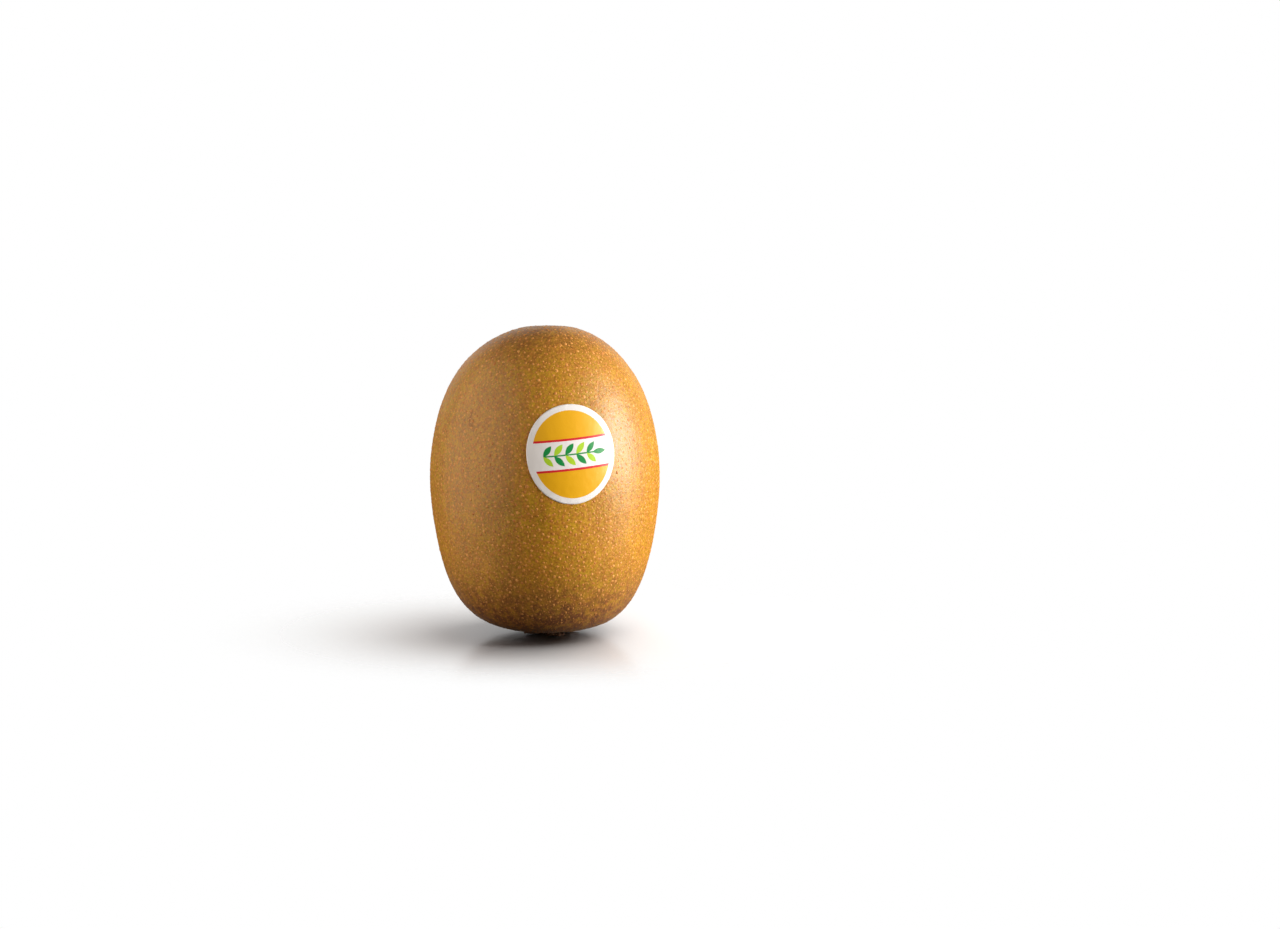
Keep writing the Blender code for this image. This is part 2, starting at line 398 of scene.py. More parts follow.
# %% [markdown]
# ## The skin's dots
#
# The dots are lenticels: pores of loose cork, through which the fruit breathes. Each is a low dome,
# half a millimetre across and less than a tenth of a millimetre high, more orange and duller than the
# skin. Finer ones lie between them.
# A texture could draw them, but they are what catches the light on the glossy side, so they are real
# domes in one mesh. They keep apart from each other, as people on a beach do: a dot is tried at a random
# place, and kept only if no other is too near. On a real fruit they are smaller, longer and closer
# together near the stalk end, where the skin grew least in width.

# %% Scatter the dots
DOT_SEED = 11
DOT_TRIES = 42000
DOT_SPACING = 1.17 * MM
FINE_TRIES = 80000
FINE_SPACING = 0.74 * MM
CROWDED_BELOW = 22 * MM
STALK_GAP = 0.78
GAP_GROWTH = 0.22
GAP_CHANCE = (0.8, 1.1)
NEAR_TOP = 66 * MM
DIMPLE_BARE = 3.0 * MM
NEAR_FOOT = 8 * MM
SEAT_BARE = 4.2 * MM
FAR_SIDE = 8 * MM  # a dot that far behind the sticker's centre is on the fruit's other side


def scatter(seed, tries, spacing, keep_out):
    """Places on the skin that are at least the spacing apart, as longitude, polar and point."""
    draw = random.Random(seed)
    cells = {}
    places = []
    for _ in range(tries):
        longitude = draw.uniform(0, math.tau)
        polar = math.acos(draw.uniform(-1, 1))
        point = skin_point(longitude, polar)
        growth = STALK_GAP + GAP_GROWTH * min(1, point.z / CROWDED_BELOW)
        gap = spacing * growth * draw.uniform(*GAP_CHANCE)
        cell = tuple(int(c // spacing) for c in point)
        near = (
            other
            for i in (-1, 0, 1)
            for j in (-1, 0, 1)
            for k in (-1, 0, 1)
            for other in cells.get((cell[0] + i, cell[1] + j, cell[2] + k), ())
        )
        if keep_out(point) or any((point - other).length < gap for other in near):
            continue
        cells.setdefault(cell, []).append(point)
        places.append((longitude, polar, point))
    return places


def off_the_skin(point):
    """True under the sticker and inside the dimple and the seat, where no dots grow."""
    flat = Vector((point.x, point.y)).length
    in_dimple = point.z > NEAR_TOP and flat < DIMPLE_BARE
    in_seat = point.z < NEAR_FOOT and flat < SEAT_BARE
    reach = point - sticker_centre
    oval = (reach.x / (STICKER_WIDTH / 2)) ** 2 + (reach.z / (STICKER_HEIGHT / 2)) ** 2
    return in_dimple or in_seat or (oval < 1 and reach.y < FAR_SIDE)


dots = scatter(DOT_SEED, DOT_TRIES, DOT_SPACING, off_the_skin)
fine_dots = scatter(DOT_SEED + 1, FINE_TRIES, FINE_SPACING, off_the_skin)
print(len(dots), "dots and", len(fine_dots), "fine dots")

# %% [markdown]
# A dot's material is the same cork as the skin's, only loose and dry, so it is duller: an orange tan with
# a soft gloss. No two dots have weathered alike, so each has a tone of its own. The mesh carries it as a
# number at its points, from 0 for brown to 1 for pale, which the shader reads. Towards the stalk end
# every dot is darker brown: partly their own browning, partly painted shade of the fruit's underside.

# %% Loose cork
def dot_cork():
    """Orange tan in each dot's tone; near the stalk end browner, partly painted shade; a crumbled face.
    """
    material, tree, shader = new_material("lenticel_cork", IOR=1.45)
    tone = add_node(tree, "Attribute", attribute_name="tone").outputs["Fac"]
    colour = add_node(
        tree, "MixRGB", {0: tone, 1: linear("b06a26"), 2: linear("d99548")}
    ).outputs[0]
    place = add_node(tree, "TexCoord").outputs["Object"]
    height = add_node(tree, "SeparateXYZ", {0: place}).outputs["Z"]
    # Browner towards the stalk end: partly the dots' own browning, partly painted shade of the underside
    base_browning_and_shade = add_node(
        tree, "MapRange", {0: height, 1: 2 * MM, 2: 20 * MM, 3: 0.8, 4: 0}
    ).outputs[0]
    colour = add_node(tree, "MixRGB", {0: base_browning_and_shade, 1: colour, 2: linear("84552f")}).outputs[0]
    tree.links.new(colour, shader.inputs["Base Color"])
    crumbs = add_node(tree, "TexNoise", {"Vector": place, "Scale": every(0.25), "Detail": 2})
    rough = add_node(
        tree, "MapRange", {0: crumbs.outputs[0], 1: 0.3, 2: 0.7, 3: 0.42, 4: 0.66}
    ).outputs[0]
    tree.links.new(rough, shader.inputs["Roughness"])
    bump = add_node(
        tree, "Bump", {"Height": crumbs.outputs[0], "Distance": 0.04 * MM, "Strength": 0.6}
    ).outputs[0]
    tree.links.new(bump, shader.inputs["Normal"])
    return material


CORK = dot_cork()
print(CORK.name, "has", len(CORK.node_tree.nodes), "nodes")

# %% [markdown]
# A dome is one or two rings of points and a tip. Its lowest ring is sunk below the skin, so that no gap
# shows under its edge. Each dot gets a size, a length along the fruit, a height and a slightly uneven
# outline by chance. A search tree of the skin's faces says where the skin really is under it.

# %% Build the dots
DOT_RINGS = ((1.0, -0.35), (0.66, 0.68))  # how far out, how high as a share of the dome
FINE_RINGS = ((1.0, -0.35),)
DOT_SIZES = (0.18, 0.21, 0.24, 0.27, 0.3, 0.35)
FINE_SIZES = (0.12, 0.14, 0.17, 0.2, 0.23)
SIZE_CHANCE = (0.9, 1.1)
DOT_FLATNESS = (0.13, 0.26)
DOT_STRETCH = (0.95, 1.4)
DOT_OVAL = 0.13
DOT_CORNERS = 0.08
SMALLER_BELOW = 24 * MM
STALK_SHRINK = 0.25
STALK_STRETCH = 0.35


def build_dots(name, places, sides, rings, sizes, material):
    """Low domes, one at each place, in one piece."""
    draw = random.Random(DOT_SEED + sides)
    surface = BVHTree.FromObject(skin, bpy.context.evaluated_depsgraph_get())
    points = []
    faces = []
    tones = []
    for longitude, polar, near in places:
        centre, normal, _, _ = surface.find_nearest(near)
        down, _ = skin_slopes(longitude, polar)
        along = (down - normal * down.dot(normal)).normalized()
        across = normal.cross(along)
        low = 1 - min(1, near.z / SMALLER_BELOW)
        size = draw.choice(sizes) * draw.uniform(*SIZE_CHANCE) * (1 - STALK_SHRINK * low) * MM
        stretch = draw.uniform(*DOT_STRETCH) + STALK_STRETCH * low
        rise = size * draw.uniform(*DOT_FLATNESS)
        turn = draw.uniform(0, math.tau)
        start = len(points)
        tones += [draw.random()] * (sides * len(rings) + 1)
        oval, corner = draw.uniform(0, DOT_OVAL), draw.uniform(0, DOT_CORNERS)
        for reach, lift in rings:
            for side in range(sides):
                angle = math.tau * side / sides + turn
                flat = across * math.cos(angle) + along * math.sin(angle) * stretch
                bulge = 1 + oval * math.cos(2 * angle) + corner * math.cos(3 * angle + turn)
                out = reach * size * bulge
                points.append(centre + flat * out + normal * rise * lift)
        points.append(centre + normal * rise)
        tip = len(points) - 1
        for ring in range(len(rings)):
            for side in range(sides):
                a = start + ring * sides + side
                b = start + ring * sides + (side + 1) % sides
                if ring == len(rings) - 1:
                    faces.append((b, a, tip))
                else:
                    faces.append((b, a, a + sides, b + sides))
    piece = new_piece(name, points, faces, material)
    piece.data.attributes.new("tone", "FLOAT", "POINT").data.foreach_set("value", tones)
    return piece


lenticels = build_dots("lenticels", dots, 10, DOT_RINGS, DOT_SIZES, CORK)
fine_lenticels = build_dots("fine_lenticels", fine_dots, 8, FINE_RINGS, FINE_SIZES, CORK)

# %% [markdown]
# ## The sticker
#
# A fruit sticker is polyethylene film, less than a tenth of a millimetre thick, printed from behind and
# stuck on wet. The film is glossy but so thin that it takes the skin's unevenness, and on a form that
# curves both ways its edge can't lie quite flat, so it puckers a little. Its print here is a plain
# pattern: golden caps above and below, and a white band with a leafy sprig between two red rules.
#
# The print is worked out by the shader from the film's own flat coordinates, which the mesh carries as
# a UV map. That keeps its edges sharp at any distance.

# %% Build the film
FILM_THICKNESS = 0.08 * MM
FILM_LIFT = 0.13 * MM
FILM_RINGS = 44
FILM_SIDES = 132
STICKER_TURN = math.radians(4)
PUCKERS = 17
PUCKER_HEIGHT = 0.03 * MM
UNEVEN_HEIGHT = 0.02 * MM
UNEVEN_LENGTH = 1.6 * MM


def build_film(material):
    """The oval of film, wrapped on the skin ring by ring, with its flat places as a UV map."""
    points = []
    flats = []
    for ring in range(FILM_RINGS + 1):
        reach = ring / FILM_RINGS
        for side in range(FILM_SIDES if ring else 1):
            angle = math.tau * side / FILM_SIDES
            x = reach * math.cos(angle) * STICKER_WIDTH / 2
            y = reach * math.sin(angle) * STICKER_HEIGHT / 2
            longitude, polar = walked(x, y)
            waves = math.sin(PUCKERS * angle + 2 * math.sin(3 * angle))
            pucker = PUCKER_HEIGHT * max(0, waves) * reach**14
            uneven = UNEVEN_HEIGHT * noise.noise(Vector((x, y, 0)) / UNEVEN_LENGTH)
            lift = FILM_LIFT + pucker + uneven
            points.append(skin_point(longitude, polar) + skin_normal(longitude, polar) * lift)
            flats.append((x, y))
    faces = ring_faces(FILM_RINGS, FILM_SIDES)
    film = new_piece("sticker_film", points, faces, material, "sticker")
    layer = film.data.uv_layers.new(name="print")
    for loop in film.data.loops:
        x, y = flats[loop.vertex_index]
        u = x * math.cos(STICKER_TURN) + y * math.sin(STICKER_TURN)
        v = y * math.cos(STICKER_TURN) - x * math.sin(STICKER_TURN)
        layer.data[loop.index].uv = (0.5 + u / STICKER_HEIGHT, 0.5 + v / STICKER_HEIGHT)
    thick = film.modifiers.new("film", "SOLIDIFY")
    thick.thickness = FILM_THICKNESS
    thick.offset = -1
    return film


print("the film is", round(FILM_THICKNESS / MM, 2), "mm thick")

# %% [markdown]
# The print's masks are small sums. A leaf is the place where its own two coordinates, measured in half
# lengths and half widths, satisfy |y| < 1 - x * x: two arcs that meet in points. A Mapping node of the
# Texture kind does the moving, turning and scaling, so one loop lays all the leaves.

# %% Printed polyethylene
# These are in millimetres, as the film's flat coordinates are once the shader has scaled them
RIM_WIDTH = 1.35
BAND_HALF = 3.1
RULE_WIDTH = 0.5
STEM_HALF = (6.6, 0.16)
LEAF_PAIRS = (
    (-5.6, 1.15, 1.5, 0.62),
    (-3.1, 1.25, 1.6, 0.66),
    (-0.6, 1.25, 1.6, 0.66),
    (1.9, 1.25, 1.6, 0.66),
    (4.3, 1.15, 1.5, 0.62),
)
LEAF_ANGLE = 48
END_LEAF = (6.3, 0, 0, 1.6, 0.62)
LEAF_GREENS = ("12863f", "a7cb2c")


def sprig_leaves():
    """The leaves: where, turned by how many degrees, half length, half width and green."""
    for index, (x, y, half_length, half_width) in enumerate(LEAF_PAIRS):
        upper, lower = LEAF_GREENS if index % 2 == 0 else reversed(LEAF_GREENS)
        yield x, y, LEAF_ANGLE, half_length, half_width, upper
        yield x, -y, -LEAF_ANGLE, half_length, half_width, lower
    yield (*END_LEAF, LEAF_GREENS[0])


def printed_film():
    """White film, and on it the gold, the red rules and the green sprig, each laid by its mask."""
    material, tree, shader = new_material(
        "polyethylene_film_printed", IOR=1.51, Roughness=0.38, Coat_Weight=0.25
    )
    shader.inputs["Coat Roughness"].default_value = 0.2
    flat = add_node(tree, "UVMap", uv_map="print").outputs[0]
    side = STICKER_HEIGHT / MM
    corner = (-side / 2, -side / 2, 0)
    centred = add_node(
        tree, "Mapping", {"Vector": flat, "Location": corner, "Scale": (side, side, 1)}
    ).outputs[0]
    up = add_node(tree, "SeparateXYZ", {0: centred}).outputs["Y"]
    tall = add_node(tree, "Math", {0: up}, operation="ABSOLUTE").outputs[0]

    # Gold lies inside the rim and outside the band
    wide, high = STICKER_WIDTH / 2 / MM - RIM_WIDTH, STICKER_HEIGHT / 2 / MM - RIM_WIDTH
    inverse = (1 / wide, 1 / high, 0)
    oval = add_node(tree, "VectorMath", {0: centred, 1: inverse}, operation="MULTIPLY").outputs[0]
    reach = add_node(tree, "VectorMath", {0: oval}, operation="LENGTH").outputs["Value"]
    inside = add_node(tree, "Math", {0: reach, 1: 1}, operation="LESS_THAN").outputs[0]
    beyond = add_node(
        tree, "Math", {0: tall, 1: BAND_HALF + RULE_WIDTH}, operation="GREATER_THAN"
    ).outputs[0]
    gold = add_node(tree, "Math", {0: inside, 1: beyond}, operation="MULTIPLY").outputs[0]
    colour = add_node(
        tree, "MixRGB", {0: gold, 1: linear("e4e0de"), 2: linear("e0a50e")}
    ).outputs[0]

    # The two red rules stop at the same rim
    half_rule = RULE_WIDTH / 2
    rule = add_node(
        tree, "Math", {0: tall, 1: BAND_HALF + half_rule, 2: half_rule}, operation="COMPARE"
    ).outputs[0]
    rule = add_node(tree, "Math", {0: rule, 1: inside}, operation="MULTIPLY").outputs[0]
    colour = add_node(tree, "MixRGB", {0: rule, 1: colour, 2: linear("cc1f28")}).outputs[0]

    # The sprig: a thin stem, and leaves by pairs
    stem = add_node(
        tree, "Mapping", {"Vector": centred, "Scale": (*STEM_HALF, 1)}, vector_type="TEXTURE"
    ).outputs[0]
    stem = add_node(tree, "VectorMath", {0: stem}, operation="ABSOLUTE").outputs[0]
    stem_parts = add_node(tree, "SeparateXYZ", {0: stem})
    most = add_node(
        tree, "Math", {0: stem_parts.outputs[0], 1: stem_parts.outputs[1]}, operation="MAXIMUM"
    ).outputs[0]
    stem = add_node(tree, "Math", {0: most, 1: 1}, operation="LESS_THAN").outputs[0]
    colour = add_node(
        tree, "MixRGB", {0: stem, 1: colour, 2: linear(LEAF_GREENS[0])}
    ).outputs[0]
    for leaf_x, leaf_y, angle, half_length, half_width, green in sprig_leaves():
        own = add_node(
            tree,
            "Mapping",
            {
                "Vector": centred,
                "Location": (leaf_x, leaf_y, 0),
                "Rotation": (0, 0, math.radians(angle)),
                "Scale": (half_length, half_width, 1),
            },
            vector_type="TEXTURE",
        ).outputs[0]
        parts = add_node(tree, "SeparateXYZ", {0: own})
        off = add_node(tree, "Math", {0: parts.outputs[1]}, operation="ABSOLUTE").outputs[0]
        along = parts.outputs[0]
        curve = add_node(
            tree, "Math", {0: along, 1: along, 2: off}, operation="MULTIPLY_ADD"
        ).outputs[0]
        leaf = add_node(tree, "Math", {0: curve, 1: 1}, operation="LESS_THAN").outputs[0]
        colour = add_node(tree, "MixRGB", {0: leaf, 1: colour, 2: linear(green)}).outputs[0]
    tree.links.new(colour, shader.inputs["Base Color"])

    # The film takes the dots and the grain of the skin below it
    place = add_node(tree, "TexCoord").outputs["Object"]
    bumps = add_node(tree, "TexNoise", {"Vector": place, "Scale": every(1.3), "Detail": 2})
    bump = add_node(
        tree, "Bump", {"Height": bumps.outputs[0], "Distance": 0.1 * MM, "Strength": 0.35}
    ).outputs[0]
    tree.links.new(bump, shader.inputs["Normal"])
    return material


sticker_film = build_film(printed_film())

# %% [markdown]
# ## The dry calyx
#
# The fruit stands on what is left of its flower. Where the stalk broke off there is a woody scar: a
# ring of hard fibres round a hollow of soft pith. Round it lie five sepals, once green, pressed between
# the fruit and the table. They have dried until they are crisp, so their edges are torn and curled, and
# their faces are wrinkled along the veins.
#
# The scar is turned, as on a lathe, from a list of radii and heights, and then roughened. A sepal is a
# thick sheet: a grid in its own length and width, with an upper and a lower side and a closed edge.

# %% Turned forms and thick sheets
def add_turned(points, faces, profile, sides, place):
    """A turned form. The profile runs from axis to axis, and place bends each point of it."""
    start = len(points)
    for radius, height in profile:
        for side in range(sides):
            points.append(place(radius, math.tau * side / sides, height))
    for row in range(len(profile) - 1):
        for side in range(sides):
            a = start + row * sides + side
            b = start + row * sides + (side + 1) % sides
            faces.append((a, a + sides, b + sides, b))


def refined(profile, step):
    """The same profile with more points, at most that step apart, so that it can be roughened."""
    fine = [profile[0]]
    for (r0, h0), (r1, h1) in zip(profile, profile[1:]):
        count = math.ceil(math.hypot(r1 - r0, h1 - h0) / step)
        for index in range(1, count + 1):
            share = index / count
            fine.append((r0 + (r1 - r0) * share, h0 + (h1 - h0) * share))
    return fine


def add_sheet(points, faces, rows, columns, place):
    """A closed sheet. Its length runs from 0 to 1, its width from -1 to 1, and it has sides 1 and -1."""
    start = len(points)
    for side in (1, -1):
        for row in range(rows + 1):
            for column in range(columns + 1):
                points.append(place(row / rows, 2 * column / columns - 1, side))

    def index(row, column, lower=False):
        return start + row * (columns + 1) + column + lower * (rows + 1) * (columns + 1)

    for row in range(rows):
        for column in range(columns):
            corners = ((row, column), (row + 1, column), (row + 1, column + 1), (row, column + 1))
            faces.append(tuple(index(*corner) for corner in corners))
            faces.append(tuple(index(*corner, True) for corner in reversed(corners)))
    edge = [(row, 0) for row in range(rows)]
    edge += [(rows, column) for column in range(columns)]
    edge += [(row, columns) for row in range(rows, 0, -1)]
    edge += [(0, column) for column in range(columns, 0, -1)]
    for here, there in zip(edge, edge[1:] + edge[:1]):
        faces.append((index(*here), index(*here, True), index(*there, True), index(*there)))


PROFILE_STEP = 0.12
print("a line of 3 mm is turned from", len(refined(((0, 0), (3, 0)), PROFILE_STEP)), "points")

# %% [markdown]
# The scar's fibres run outwards, so its noise changes fast round the ring and slowly along the radius.
# A sepal is narrow at its root, widest a third of the way out, and pointed. It rises over the scar's
# rim, its edges roll up, its tip curls, and ribs run along it. Nothing of it goes below the table.

# %% The stalk scar and the sepals
# Radii and heights are in millimetres, and so are the bends of a sepal further down
SCAR_PROFILE = (
    (0.01, 0.85),
    (0.4, 0.8),
    (0.62, 0.5),
    (0.78, 0.18),
    (0.95, 0.1),
    (1.15, 0.24),
    (1.9, 0.2),
    (2.45, 0.12),
    (2.65, 0.02),
    (2.85, 0.06),
    (3.0, 0.2),
    (3.08, 0.42),
    (3.0, 0.75),
    (2.8, 1.2),
    (2.4, 1.7),
    (1.6, 2.0),
    (0.01, 2.1),
)
SCAR_SIDES = 150
FIBRES = 13
FIBRE_DEPTH = 0.16
CRUMB_DEPTH = 0.12
SEPALS = 5
SEPAL_ROOT = 1.9 * MM
SEPAL_LENGTH = 4.7 * MM
SEPAL_WIDTH = 3.9 * MM
SEPAL_WIDEST = 0.38
SEPAL_THICKNESS = 0.26 * MM
SEPAL_LIFT = 0.26
ROOT_RISE = 0.6
TIP_CURL = 0.5
EDGE_ROLL = 0.42
RIB_HEIGHT = 0.055
WRINKLES = ((0.75, 0.12), (0.28, 0.05))  # how long, how high
TABLE_GAP = 0.004 * MM
SEPAL_ROWS = 44
SEPAL_COLUMNS = 36
CALYX_SEED = 7


def scar_place(radius, angle, height):
    """Splinters the turned scar: fibres run outwards on its face and upwards on its side."""
    ring = Vector((math.cos(angle), math.sin(angle), 0))
    fibre = noise.noise(ring * FIBRES + Vector((0, 0, radius * 0.5)))
    crumb = noise.noise(ring * radius * 2.2 + Vector((0, 0, height * 2)))
    reach = radius * (1 + 0.04 * crumb) + 0.05 * fibre * min(1, radius)
    rise = height + (FIBRE_DEPTH * abs(fibre) + CRUMB_DEPTH * abs(crumb)) * min(1, radius)
    return (ring * reach + Vector((0, 0, rise))) * MM


def sepal_place(angle, length, width, curl, key):
    """The bent form of one sepal, as a function for add_sheet."""
    turn = Matrix.Rotation(angle, 4, "Z")

    def place(u, v, side):
        if u < SEPAL_WIDEST:
            outline = 1 - 0.4 * ((SEPAL_WIDEST - u) / SEPAL_WIDEST) ** 2
        else:
            outline = 1 - 0.9 * ((u - SEPAL_WIDEST) / (1 - SEPAL_WIDEST)) ** 2.4
        edge = Vector((u * 5, key, 9 * math.copysign(1, v)))
        torn = (0.16 * noise.noise(edge) + 0.08 * noise.noise(edge * 3.3)) * abs(v)
        ragged = (0.14 * noise.noise(Vector((v * 2.6, key, 0)))) * u**2
        x = SEPAL_ROOT + length * u * (1 + ragged)
        y = v * width / 2 * outline * (1 + torn)
        spot = Vector((x, y, key * MM))
        bend = SEPAL_LIFT + ROOT_RISE * (1 - u) ** 3 + TIP_CURL * curl * u**4
        rolled = EDGE_ROLL * v * v * (0.4 + 0.8 * noise.noise(Vector((u * 2, key, v))))
        ribs = RIB_HEIGHT * math.cos(4.5 * math.pi * v) * (1 - 0.6 * u)
        wrinkle = sum(rise * noise.noise(spot / (size * MM)) for size, rise in WRINKLES)
        half_thick = SEPAL_THICKNESS / 2 * (1 - 0.6 * v * v) * (1 - 0.5 * u)
        z = (bend + rolled + ribs + wrinkle) * MM + side * half_thick
        return turn @ Vector((x, y, max(z, TABLE_GAP)))

    return place


def build_calyx(scar_material, sepal_material):
    """The turned scar, and round it the sepals in one piece."""
    points = []
    faces = []
    add_turned(points, faces, refined(SCAR_PROFILE, PROFILE_STEP), SCAR_SIDES, scar_place)
    scar = new_piece("stalk_scar", points, faces, scar_material, "calyx")
    draw = random.Random(CALYX_SEED)
    points = []
    faces = []
    for index in range(SEPALS):
        length = SEPAL_LENGTH * draw.uniform(0.9, 1.1)
        width = SEPAL_WIDTH * draw.uniform(0.9, 1.08)
        angle = math.tau * index / SEPALS + draw.uniform(-0.12, 0.12)
        place = sepal_place(angle, length, width, draw.uniform(0.1, 1), 3.7 * index)
        add_sheet(points, faces, SEPAL_ROWS, SEPAL_COLUMNS, place)
    return scar, new_piece("sepals", points, faces, sepal_material)


print("the calyx gets", SEPALS, "sepals, about", round(SEPAL_LENGTH / MM, 1), "mm long")

# %% [markdown]
# Dry sepals and broken wood are both cellulose and tannin with no water left in them: dull, rough, and
# as brown as tea. The broken face of the stalk is paler, since its fibres have not weathered as long.

# %% Sun-dried sepals, broken wood
def dry_tissue(name, dark, pale, size, relief):
    """A dull brown tissue with fibres of that size in millimetres, mottled from dark to pale."""
    material, tree, shader = new_material(name, IOR=1.45)
    place = add_node(tree, "TexCoord").outputs["Object"]
    mottle = add_node(tree, "TexNoise", {"Vector": place, "Scale": every(size * 4), "Detail": 4})
    fibre = add_node(tree, "TexNoise", {"Vector": place, "Scale": every(size), "Detail": 3})
    both = add_node(
        tree, "Math", {0: mottle.outputs[0], 1: fibre.outputs[0]}, operation="ADD"
    ).outputs[0]
    pale_share = add_node(tree, "MapRange", {0: both, 1: 0.7, 2: 1.3, 3: 0, 4: 1}).outputs[0]
    colour = add_node(
        tree, "MixRGB", {0: pale_share, 1: linear(dark), 2: linear(pale)}
    ).outputs[0]
    tree.links.new(colour, shader.inputs["Base Color"])
    rough = add_node(
        tree, "MapRange", {0: fibre.outputs[0], 1: 0.3, 2: 0.7, 3: 0.66, 4: 0.9}
    ).outputs[0]
    tree.links.new(rough, shader.inputs["Roughness"])
    bump = add_node(
        tree, "Bump", {"Height": both, "Distance": relief * MM, "Strength": 0.8}
    ).outputs[0]
    tree.links.new(bump, shader.inputs["Normal"])
    return material


scar_wood = dry_tissue("wood_broken_stalk", "452a17", "94693f", 0.22, 0.08)
sepal_tissue = dry_tissue("sepal_sun_dried", "2f1b0e", "734a2a", 0.25, 0.1)
stalk_scar, sepals = build_calyx(scar_wood, sepal_tissue)

# %% [markdown]
# ## The dry styles
#
# At the other end the flower left its styles: some three dozen threads, each of which carried pollen to
# one chamber of the fruit. They have withered to a dark tuft on a lumpy crust, at the bottom of a dimple
# that leans back with the tip. A style is a tapering tube along a curve, thinner and more curled than a
# solid part could be.

# %% Build the tuft
# Radii, heights and lengths are in millimetres
CRUST_TOP = 0.7
CRUST_PROFILE = (
    (0.01, 0.0),
    (0.9, 0.1),
    (1.25, 0.3),
    (1.3, 0.5),
    (1.15, 0.72),
    (0.85, 0.86),
    (0.5, 0.8),
    (0.25, 0.72),
    (0.01, CRUST_TOP),
)
CRUST_SIDES = 64
STYLE_RINGS = ((6, 0.28, 7), (11, 0.6, 17), (19, 0.95, 32))  # how many, how far out, degrees
STYLE_LENGTH = 1.1
STYLE_CURL = (-0.2, 1.5)
STYLE_TWIST = (-0.8, 0.8)
STYLE_RADII = (0.1, 0.055)
STYLE_STEPS = 12
STYLE_SIDES = 7
STYLES_SEED = 4
TUFT_FRAME = Matrix.Translation(skin_point(0, POLE)) @ Matrix.Rotation(-TIP_LEAN, 4, "X")


def crust_place(radius, angle, height):
    """Makes the turned crust lumpy, and stands it in the dimple."""
    spot = Vector((math.cos(angle) * radius, math.sin(angle) * radius, height))
    lump = 1 + 0.14 * noise.noise(spot * 2.3) + 0.1 * noise.noise(spot * 6)
    return TUFT_FRAME @ (spot * lump * MM)


def add_style(points, faces, root, heading, lean, length, draw):
    """One withered style: a tube that leans outwards and curls more towards its tip."""
    start = len(points)
    spot = Vector((root * math.cos(heading), root * math.sin(heading), CRUST_TOP))
    curl = draw.uniform(*STYLE_CURL)
    twist = draw.uniform(*STYLE_TWIST)
    for step in range(STYLE_STEPS + 1):
        share = step / STYLE_STEPS
        bend = lean + curl * share**2
        course = heading + twist * share
        forward = Vector(
            (math.sin(bend) * math.cos(course), math.sin(bend) * math.sin(course), math.cos(bend))
        )
        across = forward.cross(Vector((-math.sin(course), math.cos(course), 0))).normalized()
        beside = forward.cross(across)
        radius = STYLE_RADII[0] + (STYLE_RADII[1] - STYLE_RADII[0]) * share
        radius *= draw.uniform(0.8, 1.15) * (0.35 if step == STYLE_STEPS else 1)
        for side in range(STYLE_SIDES):
            angle = math.tau * side / STYLE_SIDES
            around = across * math.cos(angle) + beside * math.sin(angle)
            points.append(TUFT_FRAME @ ((spot + around * radius) * MM))
        spot += forward * length / STYLE_STEPS
    for step in range(STYLE_STEPS):
        for side in range(STYLE_SIDES):
            a = start + step * STYLE_SIDES + side
            b = start + step * STYLE_SIDES + (side + 1) % STYLE_SIDES
            faces.append((a, b, b + STYLE_SIDES, a + STYLE_SIDES))
    last = start + STYLE_STEPS * STYLE_SIDES
    faces.append(tuple(last + side for side in range(STYLE_SIDES)))


def build_styles(material):
    """The crust, and three rings of styles that lean out more and more."""
    draw = random.Random(STYLES_SEED)
    points = []
    faces = []
    add_turned(points, faces, refined(CRUST_PROFILE, PROFILE_STEP), CRUST_SIDES, crust_place)
    for ring, (count, root, lean) in enumerate(STYLE_RINGS):
        for index in range(count):
            heading = math.tau * (index + 0.5 * ring) / count + draw.uniform(-0.15, 0.15)
            tilt = math.radians(lean + draw.uniform(-8, 8))
            length = STYLE_LENGTH * draw.uniform(0.75, 1.1)
            add_style(points, faces, root, heading, tilt, length, draw)
    return new_piece("dry_styles", points, faces, material, "styles")


withered = dry_tissue("style_withered", "2a180d", "6a4626", 0.2, 0.05)
dry_styles = build_styles(withered)

# %% [markdown]
# ## Light, floor and camera
#
# The photograph is a product shot: a soft light low on the right, a broad dimmer one on the left, and a
# white floor that runs out of sight. The camera stands 10 degrees above level, nearly three quarters of
# a metre away, with a long lens that flattens the view.

# %% The camera
CAMERA_ELEVATION = math.radians(10)
CAMERA_DISTANCE = 735.8 * MM
CAMERA_SIDE = 20.95 * MM
AIM_HEIGHT = 39.33 * MM
LENS = 90  # Blender takes this one in millimetres

camera_data = bpy.data.cameras.new("camera")
camera_data.lens = LENS
camera_data.clip_start = 10 * MM
camera = bpy.data.objects.new("camera", camera_data)
camera.location = (
    CAMERA_SIDE,
    -CAMERA_DISTANCE * math.cos(CAMERA_ELEVATION),
    AIM_HEIGHT + CAMERA_DISTANCE * math.sin(CAMERA_ELEVATION),
)
camera.rotation_euler = (math.pi / 2 - CAMERA_ELEVATION, 0, 0)
bpy.context.scene.collection.objects.link(camera)
bpy.context.scene.camera = camera
print("the camera is", round(camera.location.length, 3), "m from the fruit's foot")

# %% [markdown]
# The floor is a sheet of white acrylic. It is smooth, so it mirrors the foot of the fruit softly, and it
# catches the fruit's shadow. A few centimetres away it can't be told from the backdrop, so it turns
# clear with the distance from the fruit, sooner in front than at the sides. It is clear from below as
# well, so that the underside of the fruit can be looked at.
#
# The floor is white to the camera, but grey to every other ray. That does what black cards do round a
# real table: it keeps light from bouncing up, and so the fruit's lower half stays dark.

# %% The floor
FLOOR_NEAR = 32 * MM
FLOOR_FAR = 84 * MM
FLOOR_DEPTH = 1.5  # how much sooner it fades in front than at the sides
FLOOR_HALF = 8


